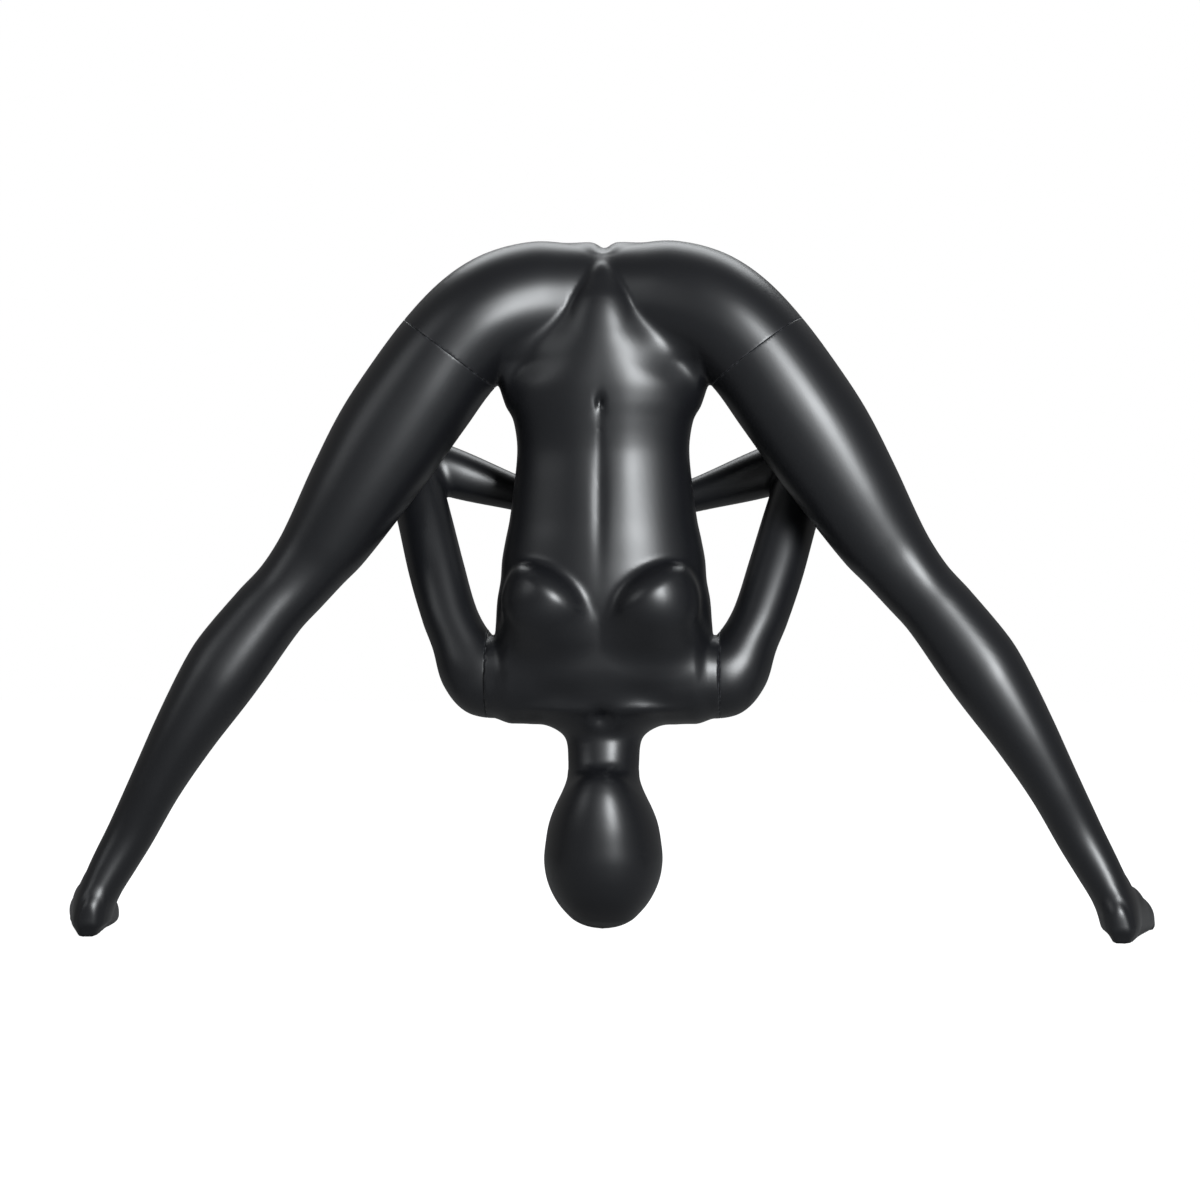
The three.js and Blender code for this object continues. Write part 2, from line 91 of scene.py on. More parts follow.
def levelSweep(table, middleY, pitch=1.5):  # level sections stacked upwards
    keys = np.arange(table[0][0], table[-1][0] + pitch / 2, pitch)
    rows = alongTable(table, np.minimum(keys, table[-1][0]))
    centres = np.stack([0 * keys, 0 * keys + middleY, keys], 1)
    outward, deepward = np.tile([1.0, 0, 0], (len(keys), 1)), np.tile([0, 1.0, 0], (len(keys), 1))
    return makeSweep(centres, outward, deepward, rows[:, [1, 1, 2, 3]])


def archSweep(table, first, pitch=2.0):  # leg and pelvis, each section tilted as its row says
    rows = alongTable(table, np.arange(first, table[-1][0] + 0.01, pitch))
    tilt = np.radians(rows[:, 4])
    outward = np.stack([np.cos(tilt), 0 * tilt, np.sin(tilt)], 1)
    deepward = np.tile([0, 1.0, 0], (len(rows), 1))
    return makeSweep(rows[:, 1:4], outward, deepward, rows[:, 5:9])


def limbSweep(table, pitch=2.0, calm=36):  # sections square to a curved path
    rows = alongTable(table, np.arange(table[0][0], table[-1][0] + 0.01, pitch))
    ahead = unit(np.gradient(rows[:, 1:4], axis=0))
    wide = int(calm / pitch)  # directions averaged over calm mm each way, so sections never cross inside a bend
    padded = np.pad(ahead, ((wide, wide), (0, 0)), mode="edge")
    ahead = unit(np.stack([np.convolve(padded[:, i], np.ones(2 * wide + 1), "valid") for i in range(3)], 1))
    deepward = unit(np.array([0, 1.0, 0]) - ahead * ahead[:, 1:2])
    return makeSweep(rows[:, 1:4], np.cross(deepward, ahead), deepward, rows[:, 4:8])


def yokeSweep(table, middleY, pitch=2.0):  # upright sections carried sideways, from the middle to the shoulder seam
    rows = alongTable(table, np.arange(0, table[-1][0] + 1, pitch))
    centres = np.stack([rows[:, 0], 0 * rows[:, 0] + middleY, rows[:, 1]], 1)
    outward, deepward = np.tile([0, 0, 1.0], (len(rows), 1)), np.tile([0, 1.0, 0], (len(rows), 1))
    return makeSweep(centres, outward, deepward, rows[:, 2:6])


def sweepDistance(sweep, points):
    # Slides each point's section along the path until the point lies in its plane, then measures along the ray
    # from the section's middle to its superellipse, eased by how fast the section grows.
    skip = max(1, int(24 / np.abs(sweep["pitch"]).mean()))
    near = np.full(len(points), np.inf)
    at = np.zeros(len(points))
    for index in range(0, len(sweep["centre"]), skip):
        away = ((points - sweep["centre"][index]) ** 2).sum(1)
        better = away < near
        near[better], at[better] = away[better], index
    last = len(sweep["centre"]) - 1.001
    at = np.minimum(at, last)
    for turn in range(3):
        low = at.astype(int)
        t = (at - low)[:, None]
        c = sweep["centre"][low] * (1 - t) + sweep["centre"][low + 1] * t
        n = sweep["ahead"][low] * (1 - t) + sweep["ahead"][low + 1] * t
        off = ((points - c) * n).sum(1)
        rate = sweep["pitch"][low] - ((points - c) * sweep["turn"][low]).sum(1)
        at = np.clip(at + off / np.maximum(rate, 0.3 * sweep["pitch"][low]), 0, last)
    low = at.astype(int)
    t = (at - low)[:, None]
    parts = ("centre", "out", "deep", "ahead", "half", "slope")
    value = {key: sweep[key][low] * (1 - t) + sweep[key][low + 1] * t for key in parts}
    away = points - value["centre"]
    a, b = (away * value["out"]).sum(1), (away * value["deep"]).sum(1)
    off = np.abs((away * value["ahead"]).sum(1))
    p = body["roundness"]
    ray = np.sqrt(a * a + b * b) + 1e-6
    share = (np.abs(a / value["half"][:, 0]) ** p + np.abs(b / value["half"][:, 1]) ** p) ** (1 / p) + 1e-6
    slope = (a * value["slope"][:, 0] / ray) ** 2 + (b * value["slope"][:, 1] / ray) ** 2
    side = ray * (1 - 1 / share) / np.sqrt(1 + np.minimum(slope, 9))
    return np.where(off > 0.02, np.where(side > 0, np.hypot(side, off), np.maximum(side, off)), side)


def ellipsoid(points, centre, radii):  # distance from an ellipsoid, first order
    away = (points - centre) / radii
    length = np.linalg.norm(away, axis=1) + 1e-9
    return length * (length - 1) / (np.linalg.norm(away / radii, axis=1) + 1e-9)


def capsule(points, start, end, thick, thin):  # tapered rod with round ends
    start, end = np.asarray(start, float), np.asarray(end, float)
    along = end - start
    t = np.clip(((points - start) @ along) / (along @ along), 0, 1)
    return np.linalg.norm(points - start - t[:, None] * along, axis=1) - (thick + (thin - thick) * t)


def merge(a, b, soft):  # union with a fillet about as wide as soft
    h = np.maximum(soft - np.abs(a - b), 0) / np.maximum(soft, 1e-6)
    return np.minimum(a, b) - h * h * soft / 4


def swell(points, centre, radii, height):  # bell-shaped rise or hollow, to be taken from a distance
    return height * np.exp(-(((points - centre) / radii) ** 2).sum(1))


def ramp(value, low, high):  # 0 up to low, 1 from high, an S-curve between
    t = np.clip((value - low) / (high - low), 0, 1)
    return t * t * (3 - 2 * t)


figure = {  # torso, right side, all in mm
    "trunkMiddle": 105,  # depth of the middle of the trunk, and of the head
    "headMiddle": 103,
    "trunk": [  # neck to pelvis: height, half width, belly side, back side
        [172, 44, 54, 54], [195, 45, 50, 56], [222, 46, 43.5, 59], [240, 47, 39, 60], [257, 50, 37.5, 64],
        [275, 62, 46, 72], [295, 86, 54, 82], [320, 116, 60, 92], [350, 136, 68, 100], [383, 141, 78, 105],
        [404, 140, 84, 105], [430, 138, 88, 103], [456, 133.5, 88, 99], [482, 131.5, 86, 94],
        [507, 127, 84, 88], [533, 121.5, 81, 80], [585, 114.5, 77, 70], [617, 111.5, 75, 68],
        [637, 112, 76, 70], [662, 116.5, 79, 74], [685, 125, 82, 79], [708, 125, 84, 86], [735, 105, 84, 90],
        [772, 78, 82, 90], [815, 53, 74, 82], [840, 34, 59, 66], [860, 17, 42, 46], [876, 5, 12, 16],
    ],
    "head": [  # crown to neck: height, half width, face side, back side
        [6, 3, 3, 3], [6.8, 11, 13, 13], [9, 21, 25, 25], [13, 31, 38, 37], [20, 41.5, 52, 49],
        [40, 59, 73, 72], [65, 71.5, 85, 88], [92, 76.5, 91, 96], [118, 74.5, 92, 98], [144, 69.5, 91, 92],
        [170, 59, 87, 76], [190, 47, 80, 58], [204, 34, 70, 44], [212, 18, 54, 32],
    ],
    "yoke": [  # across the shoulders: distance out, height, towards waist, towards neck, belly side, back side
        [0, 331, 70, 70, 58, 88], [60, 331, 70, 64, 58, 86], [100, 331, 66, 58, 56, 78],
        [151, 331, 50, 51, 48, 58],
    ],
    "breast": {"at": (65, 48, 433), "lean": 34, "along": 60, "deep": 60, "waistward": 37, "neckward": 66},
    "fillets": {
        "shoulder": 28, "chest": 18, "arm": 30, "chin": 15, "fold": 12, "bust": 28,
        "groin": 7, "seat": 43, "belly": 40,
    },
    "swells": [  # middle, reach each way, height
        ((0, 18, 681), (4.5, 22, 8.5), -8),  # navel
        ((0, 18, 668), (8, 24, 10), -1.2),
        ((0, 10, 640), (3, 60, 34), -1.0),  # fine line below it
        ((0, 10, 560), (8, 60, 75), -2.0),  # groove down the belly
        ((34, 20, 610), (24, 40, 100), 1.4),  # either side of it
        ((0, 105, 893), (10, 60, 22), -8),  # notch at the top
        ((0, 60, 280), (13, 22, 12), -7.5),  # throat
        ((60, 58, 290), (46, 22, 7), 3.5),  # collar bone
        ((52, 55, 312), (26, 26, 14), -4.0),
        ((70, 190, 395), (36, 40, 46), 7.0),  # shoulder blade
        ((0, 205, 440), (11, 60, 150), -6.0),  # spine
        ((0, 180, 620), (12, 50, 110), -4.0),
        ((34, 178, 676), (9, 25, 9), -2.5),  # dimple above the seat
        ((0, 222, 820), (8, 60, 62), -16),  # cleft
        ((62, 205, 735), (60, 40, 16), -3.0),
    ],
}

leg = {  # right leg, all in mm
    "rows": [  # heel to the middle of the pelvis: key, x, y, z, tilt, outer, inner, near, far
        [0, 656, 48, 18, 0, 19, 21, 38, 34],
        [45, 650, 50, 42, 10, 19, 23, 39, 38],
        [68, 645, 53, 66, 28, 23, 28, 36, 38],
        [140, 607, 61, 127, 34, 33, 27.5, 35, 35],
        [215, 567, 64, 189, 34, 43.5, 24, 46, 37],
        [290, 525, 68, 251, 34, 56.5, 25, 58, 40],
        [365, 482, 72, 313, 34, 68, 29, 64, 44],
        [405, 460, 74, 346, 34, 69.5, 30.5, 62, 46],
        [480, 418, 77, 408, 34, 62.5, 31, 52, 53],
        [520, 395, 79, 441, 34, 57.5, 36, 48, 60],
        [560, 373, 81, 474, 34, 57.5, 42.5, 50, 61],
        [595, 353, 83, 503, 34, 62, 49, 56, 61],
        [665, 314, 86, 561, 34, 73.5, 55, 68, 64],
        [745, 269, 90, 627, 34.5, 84, 59, 78, 69],
        [820, 227, 94, 689, 36, 85.5, 60.5, 84, 77],
        [885, 190, 97, 743, 38, 83, 62, 86, 86],
        [940, 152, 100, 782, 46, 84, 66, 86, 98],
        [985, 113, 102, 800, 60, 90, 68, 80, 113],
        [1030, 70, 103, 808, 75, 91, 70, 68, 120],
        [1066, 34, 104, 810, 84, 84, 72, 56, 112],
        [1100, 0, 104, 810, 90, 78, 72, 44, 98],
    ],
    "hipFrom": 830,  # key where the torso's share of the rows starts
    "footTo": 190,  # height up to which the foot can reach
    "instep": 22,  # fillet between leg and foot
    "swells": [  # middle, reach each way, height
        ((376, 143, 482), (26, 16, 30), 4.0),  # kneecap
        ((403, 142, 440), (16, 14, 16), 2.0),
        ((376, 24, 468), (30, 24, 44), -2.2),  # hollow of the knee
        ((668, 62, 78), (12, 12, 15), 1.6),  # ankle bones
        ((620, 66, 88), (12, 12, 15), 1.6),
    ],
}

arm = {  # right arm, all in mm: key, x, y, z, outer, inner, near, far
    "upper": [
        [0, 95, 110, 328, 46, 44, 44, 52], [56, 151, 112, 331, 54, 52, 50, 60],
        [86, 175, 116, 346, 44, 49, 49, 58], [118, 188, 122, 378, 38, 38, 44, 52],
        [152, 203, 131, 410, 36, 36, 41, 46], [217, 222, 152, 470, 37, 36, 38, 41],
        [290, 242, 182, 540, 36, 35, 37, 38], [347, 260, 209, 595, 35, 35, 36, 36],
        [382, 271, 224, 624, 33, 33, 33, 33], [404, 277, 231, 643, 22, 22, 22, 22],
    ],
    "fore": [
        [0, 296, 227, 632, 14, 14, 14, 14], [14, 283, 227, 629, 28, 28, 28, 28],
        [38, 262, 228, 619, 33, 33, 33, 33], [98, 204, 232, 599, 32, 33, 34, 34],
        [183, 121, 240, 573, 22, 24, 26, 26], [240, 66, 247, 556, 19, 19, 27, 27],
        [275, 34, 250, 543, 14, 17, 27, 27], [289, 21, 250.5, 539, 8, 10, 15, 15],
    ],
    "elbow": 16,  # fillet
}

sweeps = {
    "trunk": levelSweep(figure["trunk"], figure["trunkMiddle"]),
    "head": levelSweep(figure["head"], figure["headMiddle"], 0.8),
    "yoke": yokeSweep(figure["yoke"], figure["trunkMiddle"]),
    "hip": archSweep(leg["rows"], leg["hipFrom"]),
    "leg": archSweep(leg["rows"], 0),
    "upperArm": limbSweep(arm["upper"]),
    "forearm": limbSweep(arm["fore"]),
}

tilt = math.radians(body["thighTilt"])
seam = {
    "thighMiddle": thighAt + [0, body["originY"], 0],
    "thighAhead": np.array([math.sin(tilt), 0, -math.cos(tilt)]),
    "shoulderMiddle": shoulderAt + [0, body["originY"], 0],
    "shoulderAhead": np.array([1.0, 0, 0]),
}


def pastSeam(points, name):  # how far beyond a joint's plane, away from the trunk
    return (points - seam[name + "Middle"]) @ seam[name + "Ahead"]


def bothSides(points):  # the left side folded on to the right
    return np.stack([np.abs(points[:, 0]), points[:, 1], points[:, 2]], 1)


def breastDistance(p):  # half-egg leaning outwards, steep at the fold under it and long towards the neck
    form = figure["breast"]
    lean = math.radians(form["lean"])
    away = p - np.array(form["at"])
    along = away[:, 0] * math.cos(lean) + away[:, 2] * math.sin(lean)
    fold = away[:, 2] * math.cos(lean) - away[:, 0] * math.sin(lean)
    upright = np.where(fold > 0, form["waistward"], form["neckward"])
    radii = np.stack([0 * fold + form["along"], 0 * fold + form["deep"], upright], 1)
    return ellipsoid(np.stack([along, away[:, 1], fold], 1), 0, radii)


def torsoDistance(points):  # trunk, head, shoulders, chest and pelvis melted together
    p = bothSides(points)
    x, y, z = p.T
    trunk = sweepDistance(sweeps["trunk"], p)
    yoke = sweepDistance(sweeps["yoke"], p)
    atSeam = ramp(x, 118, 148)  # fillets fade out towards a seam, so both sides of it keep the same section
    soft = figure["fillets"]
    form = merge(trunk, yoke, (soft["shoulder"] + soft["chest"] * ramp(z, 300, 345)) * (1 - atSeam))
    shoulder = np.maximum(sweepDistance(sweeps["upperArm"], p), pastSeam(p, "shoulder") - body["overrun"])
    form = merge(form, shoulder, soft["arm"] * (1 - atSeam))
    form = merge(form, sweepDistance(sweeps["head"], p), soft["chin"])
    form = merge(form, breastDistance(p), soft["fold"] + soft["bust"] * ramp(-z, -428, -372))
    hip = np.maximum(sweepDistance(sweeps["hip"], p), pastSeam(p, "thigh") - body["overrun"])
    inFront = soft["belly"] * ramp(-z, -810, -740) * ramp(-y, -130, -70)
    groin = soft["groin"] + soft["seat"] * ramp(y, 70, 130) + inFront
    form = merge(form, hip, groin * (1 - ramp(x, 122, 149)))
    for centre, radii, height in figure["swells"]:
        form = form - swell(p, np.array(centre), np.array(radii), height)
    return form


foot = {  # right foot, all in mm
    "splay": 9.5,  # degrees, toes outwards
    "heel": (655, 12),
    "length": 208,  # of the foot without its toes
    "sole": 8,  # how far the sections run on below the floor, where they are cut flat
    "rows": [  # distance, half width, centre height, reach up
        [0, 8, 22, 14], [6, 13, 27, 22], [22, 17, 30, 28], [50, 20, 32, 32], [85, 24, 28, 38], [120, 28, 22, 33],
        [152, 32, 17, 29], [174, 32, 13, 21], [190, 29, 10, 14], [200, 23, 9, 9],
    ],
    "toes": [  # side, start, end, radius at the start, radius at the tip
        (-20, 188, 230, 11.0, 9.4), (-3.5, 194, 226, 8.2, 7.0), (8, 190, 220, 7.8, 6.6), (18, 183, 210, 7.4, 6.2),
        (25, 172, 196, 7.0, 5.6),
    ],
    "toeFillet": 4,
}


def footDistance(p):  # foot swept heel to toe, toes as short tapered rods
    splay = math.radians(foot["splay"])
    along = np.array([math.sin(splay), math.cos(splay), 0])
    across = np.array([math.cos(splay), -math.sin(splay), 0])
    rows = alongTable(foot["rows"], np.arange(0, foot["length"] + 0.1, 2.0))
    heel = np.array([foot["heel"][0], foot["heel"][1], 0])
    centres = heel + rows[:, :1] * along + np.stack([0 * rows[:, 0], 0 * rows[:, 0], rows[:, 2]], 1)
    outward, deepward = np.tile(across, (len(rows), 1)), np.tile([0, 0, 1.0], (len(rows), 1))
    sizes = np.stack([rows[:, 1], rows[:, 1], rows[:, 2] + foot["sole"], rows[:, 3]], 1)
    form = sweepDistance(makeSweep(centres, outward, deepward, sizes), p)
    for side, start, end, thick, thin in foot["toes"]:
        base = heel + along * start + across * side + np.array([0, 0, thick - 1])
        tip = heel + along * (end - thin) + across * (side * 0.96) + np.array([0, 0, thin - 0.5])
        form = merge(form, capsule(p, base, tip, thick, thin), foot["toeFillet"])
    return form


def legDistance(points):  # leg and foot melted together, cut at the floor and past the thigh seam
    form = sweepDistance(sweeps["leg"], points)
    low = points[:, 2] < leg["footTo"]
    if low.any():
        form[low] = merge(form[low], footDistance(points[low]), leg["instep"])
    for centre, radii, height in leg["swells"]:
        form = form - swell(points, np.array(centre), np.array(radii), height)
    return np.maximum(np.maximum(form, -points[:, 2]), -pastSeam(points, "thigh") - body["overrun"])


hand = {  # right hand, flat, fingers up the back, all in mm
    "palm": [  # height, x, y, half thickness, half width
        [452, 13, 250, 9, 38], [480, 14, 250, 11.5, 41], [515, 15.5, 250, 13.5, 38], [545, 18, 250, 14, 31],
        [566, 22, 250, 11, 24],
    ],
    "fingers": [(217, 384, 8.4), (239, 366, 8.9), (261, 360, 9.0), (281, 372, 8.6)],  # y at the knuckle, tip, radius
    "knuckle": (13, 470),  # x and height
    "thumb": ((18, 276, 536), (20, 306, 478), 10.5, 8.2),  # start, end, radius at the start, radius at the end
    "fillets": {"finger": 6, "thumb": 12, "wrist": 14},
    "gap": 2.0,  # from the middle, so the two palms lie side by side without touching
}


def armDistance(points):  # upper arm and forearm meet at the elbow, then palm, fingers and thumb
    form = np.maximum(sweepDistance(sweeps["upperArm"], points), -pastSeam(points, "shoulder") - body["overrun"])
    form = merge(form, sweepDistance(sweeps["forearm"], points), arm["elbow"])
    near = np.flatnonzero((points[:, 0] < 75) & (points[:, 1] > 180))
    if len(near):
        p = points[near]
        rows = alongTable(hand["palm"], np.arange(hand["palm"][0][0], hand["palm"][-1][0] + 0.1, 2.0))
        tall = np.tile([1.0, 0, 0], (len(rows), 1)), np.tile([0, 1.0, 0], (len(rows), 1))
        sweep = makeSweep(np.stack([rows[:, 1], rows[:, 2], rows[:, 0]], 1), *tall, rows[:, [3, 3, 4, 4]])
        palm = sweepDistance(sweep, p)
        fingers = np.full(len(p), 1e3)
        for y, tip, thick in hand["fingers"]:
            base = (hand["knuckle"][0], y, hand["knuckle"][1])
            end = (11.5, y * 0.97 + 7.5, tip + thick * 0.8)  # the fingers close up a little towards 250
            fingers = np.minimum(fingers, capsule(p, base, end, thick, thick * 0.8))
        soft = hand["fillets"]
        palm = merge(merge(palm, fingers, soft["finger"]), capsule(p, *hand["thumb"]), soft["thumb"])
        form[near] = merge(form[near], palm, soft["wrist"])
        form[near] = np.maximum(form[near], hand["gap"] - p[:, 0])
    return form


def netSurface(distance, low, high, step):
    # One point in each grid cell that the surface crosses, at the mean of its edge crossings,
    # and one quad round each grid edge that it crosses.
    # Blocks of 4 x 4 x 4 grid points that lie well off the surface are filled from their middle.
    blocks = [int(math.ceil((high[i] - low[i] + 4 * step) / step / 4)) for i in range(3)]
    origin = np.array(low) - 1.5 * step
    block = np.stack(np.meshgrid(*[np.arange(n) for n in blocks], indexing="ij"), -1).reshape(-1, 3) * 4
    middle = distance(origin + (block + 1.5) * step)
    shape = [n * 4 for n in blocks]
    value = np.kron((np.sign(middle) * 1e3).reshape(blocks), np.ones((4, 4, 4)))
    inner = np.stack(np.meshgrid(*[np.arange(4)] * 3, indexing="ij"), -1).reshape(1, -1, 3)
    at = (block[np.abs(middle) < 5 * step + 4][:, None] + inner).reshape(-1, 3)
    parts = np.array_split(at, len(at) // 200000 + 1)  # a few at a time, to save memory
    value[tuple(at.T)] = np.concatenate([distance(origin + part * step) for part in parts])
    cells = [n - 1 for n in shape]
    count, total = np.zeros(cells), np.zeros(cells + [3])
    for axis in range(3):
        b, c = (axis + 1) % 3, (axis + 2) % 3
        for db in (0, 1):
            for dc in (0, 1):
                start = [0, 0, 0]
                start[b], start[c] = db, dc
                end = list(start)
                end[axis] = 1
                v0 = value[tuple(slice(s, s + n) for s, n in zip(start, cells))]
                v1 = value[tuple(slice(s, s + n) for s, n in zip(end, cells))]
                crossed = (v0 < 0) != (v1 < 0)
                count += crossed
                total[..., axis] += np.where(crossed, v0 / np.where(crossed, v0 - v1, 1), 0)
                total[..., b] += db * crossed
                total[..., c] += dc * crossed
    used = count > 0
    ids = np.full(cells, -1)
    ids[used] = np.arange(used.sum())
    points = (np.argwhere(used) + total[used] / count[used][:, None]) * step + origin
    quads = []
    for axis in range(3):
        b, c = (axis + 1) % 3, (axis + 2) % 3
        turned = np.moveaxis(value < 0, (axis, b, c), (0, 1, 2))
        cell = np.moveaxis(ids, (axis, b, c), (0, 1, 2))
        for inside in (True, False):
            crossed = (turned[:-1, 1:-1, 1:-1] == inside) & (turned[1:, 1:-1, 1:-1] != inside)
            i, j, k = np.nonzero(crossed)
            ring = np.stack([cell[i, j, k], cell[i, j + 1, k], cell[i, j + 1, k + 1], cell[i, j, k + 1]], 1)
            quads.append(ring if inside else ring[:, ::-1])
    return points, np.concatenate(quads)


def settle(distance, points, quads, rounds=2, ease=0.6, nudge=0.2, furthest=2.5):
    # Eases each point towards the mean of its neighbours, then moves it back to the surface along the slope.
    pairs = np.concatenate([quads[:, [0, 1]], quads[:, [1, 2]], quads[:, [2, 3]], quads[:, [3, 0]]])
    both = np.concatenate([pairs, pairs[:, ::-1]])
    degree = np.bincount(both[:, 0], minlength=len(points))[:, None]
    for turn in range(rounds + 1):
        if turn < rounds:
            mean = np.stack([np.bincount(both[:, 0], points[both[:, 1], i], len(points)) for i in range(3)], 1)
            points = points * (1 - ease) + mean / degree * ease
        for again in range(1 + (turn == rounds)):
            value = distance(points)
            slope = np.stack([distance(points + step) - value for step in np.eye(3) * nudge], 1) / nudge
            move = value[:, None] * slope / np.maximum((slope ** 2).sum(1), 0.2)[:, None]
            points = points - move * np.minimum(1, furthest / (np.linalg.norm(move, axis=1) + 1e-9))[:, None]
    return points


def meshOf(name, points, faces):  # arrays into a mesh, each face four corners, in metres
    mesh = bpy.data.meshes.new(name)
    mesh.vertices.add(len(points))
    mesh.vertices.foreach_set("co", points.astype(np.float32).ravel())
    mesh.loops.add(faces.size)
    mesh.loops.foreach_set("vertex_index", faces.astype(np.int32).ravel())
    mesh.polygons.add(len(faces))
    mesh.polygons.foreach_set("loop_start", np.arange(0, faces.size, faces.shape[1], dtype=np.int32))
    mesh.polygons.foreach_set("use_smooth", np.ones(len(faces), bool))
    mesh.update(calc_edges=True)
    mesh.validate()
    thing = bpy.data.objects.new(name, mesh)
    bpy.context.scene.collection.objects.link(thing)
    return thing


lip = {  # a joint's mouth, mm
    "round": 0.9,  # radius of the edge
    "wall": 4.0,  # width of the rim
    "chamfer": 0.6,
    "deep": 16,  # inner wall
    "near": 150,  # how far from the joint's middle a face can belong to its limb
    "off": 2.5,  # and how far off the limb's own sweep
    "worn": 120,  # how far from the joint's middle the edge can be rubbed
    "wear": 2.2,  # fade of the rubbed paint
}


def cutAndLip(points, quads, planes):
    # Cuts the skin at each joint's plane, then carries its edge round a small radius, across the rim and inside.
    shell = meshOf("blank", points, quads)
    mesh = shell.data
    form = bmesh.new()
    form.from_mesh(mesh)
    for at, ahead, middle, limb in planes:
        # only the limb's own faces are cut, not the trunk or forearm beside it
        spots = np.array([face.calc_center_median() for face in form.faces])
        inReach = np.linalg.norm(spots - middle, axis=1) < lip["near"]
        own = np.flatnonzero(inReach & ((spots - at) @ ahead > -body["overrun"]))
        if limb != "upperArm":  # nothing else lies near the shoulder seam
            own = own[sweepDistance(sweeps[limb], bothSides(spots[own])) < lip["off"]]
        form.faces.ensure_lookup_table()
        chosen = [form.faces[i] for i in own]
        edges = {edge for face in chosen for edge in face.edges}
        geom = list({vert for edge in edges for vert in edge.verts}) + list(edges) + chosen
        bmesh.ops.bisect_plane(form, geom=geom, plane_co=at, plane_no=ahead, dist=1e-4, clear_outer=True)
    bmesh.ops.triangulate(form, faces=[face for face in form.faces if len(face.verts) > 4])
    form.to_mesh(mesh)
    form.free()
    count = len(mesh.vertices)
    points = np.empty(count * 3, np.float32)
    mesh.vertices.foreach_get("co", points)
    points = points.reshape(-1, 3).astype(float)
    starts, totals = np.empty(len(mesh.polygons), int), np.empty(len(mesh.polygons), int)
    mesh.polygons.foreach_get("loop_start", starts)
    mesh.polygons.foreach_get("loop_total", totals)
    corners = np.empty(len(mesh.loops), int)
    mesh.loops.foreach_get("vertex_index", corners)
    faces = [tuple(corners[s:s + n]) for s, n in zip(starts, totals)]
    following = np.arange(len(corners)) + 1
    following[starts + totals - 1] = starts
    directed = np.stack([corners, corners[following]], 1)
    code = directed[:, 0] * count + directed[:, 1]
    mouth = directed[~np.isin(code, directed[:, 1] * count + directed[:, 0])]  # edges with a face on one side only
    bpy.data.objects.remove(shell)
    bpy.data.meshes.remove(mesh)
    wear = np.zeros(len(points))
    for at, ahead, middle, limb in planes:
        fromMiddle = np.linalg.norm(points[:count] - middle, axis=1)
        on = (np.abs((points[:count] - at) @ ahead) < 0.01) & (fromMiddle < lip["near"])
        edges = mouth[on[mouth[:, 0]] & on[mouth[:, 1]]]
        ring = np.unique(edges)
        inward = middle - points[ring]
        inward -= (inward @ ahead)[:, None] * ahead
        inward = unit(inward)
        place = {v: i for i, v in enumerate(ring)}
        pairs = np.array([[place[a], place[b]] for a, b in edges])
        last = ring
        r, rim, bevel = lip["round"], lip["wall"], lip["chamfer"]
        moves = [(r * (1 - math.cos(q)), r * math.sin(q)) for q in np.radians([30, 60, 90])]
        moves += [(rim, r), (rim + bevel, r - bevel), (rim + bevel, -lip["deep"])]
        for across, along in moves:
            new = points[ring] + inward * across + ahead * along
            ids = np.arange(len(points), len(points) + len(new))
            points = np.concatenate([points, new])
            wear = np.concatenate([wear, np.full(len(new), 1.0 if across < 2 else 0.2)])
            faces += [(last[b], last[a], ids[a], ids[b]) for a, b in pairs]
            last = ids
        reach = np.abs((points[:count] - at) @ ahead)
        wear[:count] = np.maximum(wear[:count], np.where(fromMiddle < lip["worn"], np.exp(-reach / lip["wear"]), 0))
    return points, faces, wear


mirror = np.array([-1.0, 1, 1])


def seamPlanes(name, limb, towards, sides=(1,)):
    # Each cut starts short of the seam by half its gap and the lip's radius.
    planes = []
    for side in sides:
        flip = np.array([side, 1, 1])
        ahead = seam[name + "Ahead"] * flip * towards
        middle = seam[name + "Middle"] * flip
        planes.append((middle - ahead * (body["seamGap"] / 2 + lip["round"]), ahead, middle, limb))
    return planes


def finishSkin(name, points, faces, wear, rides, node):  # mm to metres, painted, on its body, in place of its node
    points = (points - [0, body["originY"], 0]) / 1000
    mesh = bpy.data.meshes.new(name)
    mesh.from_pydata(points.tolist(), [], faces)
    mesh.polygons.foreach_set("use_smooth", np.ones(len(mesh.polygons), bool))
    worn = mesh.attributes.new("edgeWear", "FLOAT", "POINT")
    worn.data.foreach_set("value", wear.astype(np.float32))
    mesh.update()
    thing = bpy.data.objects.new(name, mesh)
    bpy.context.scene.collection.objects.link(thing)
    mesh.materials.append(materials["gelCoat"])
    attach(thing, rides)
    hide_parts(node)
    print(name, len(mesh.polygons), "faces")


def colour(code):  # sRGB hex to linear
    parts = np.array([int(code[i:i + 2], 16) / 255 for i in (1, 3, 5)])
    return tuple(np.where(parts <= 0.04045, parts / 12.92, ((parts + 0.055) / 1.055) ** 2.4)) + (1.0,)


def addNode(tree, kind, links=None, **settings):  # one node, its values and what feeds it
    node = tree.nodes.new(kind)
    for key, value in settings.items():
        if key in node.inputs:
            node.inputs[key].default_value = value
        else:
            setattr(node, key, value)
    for key, source in (links or {}).items():
        tree.links.new(source, node.inputs[key])
    return node


def newMaterial(name, **shader):  # even values set on the shader's own sockets
    material = bpy.data.materials.new(name)
    material.use_nodes = True
    tree = material.node_tree
    surface = tree.nodes["Principled BSDF"]
    for key, value in shader.items():
        surface.inputs[key.replace("_", " ")].default_value = value
    return material, tree, surface


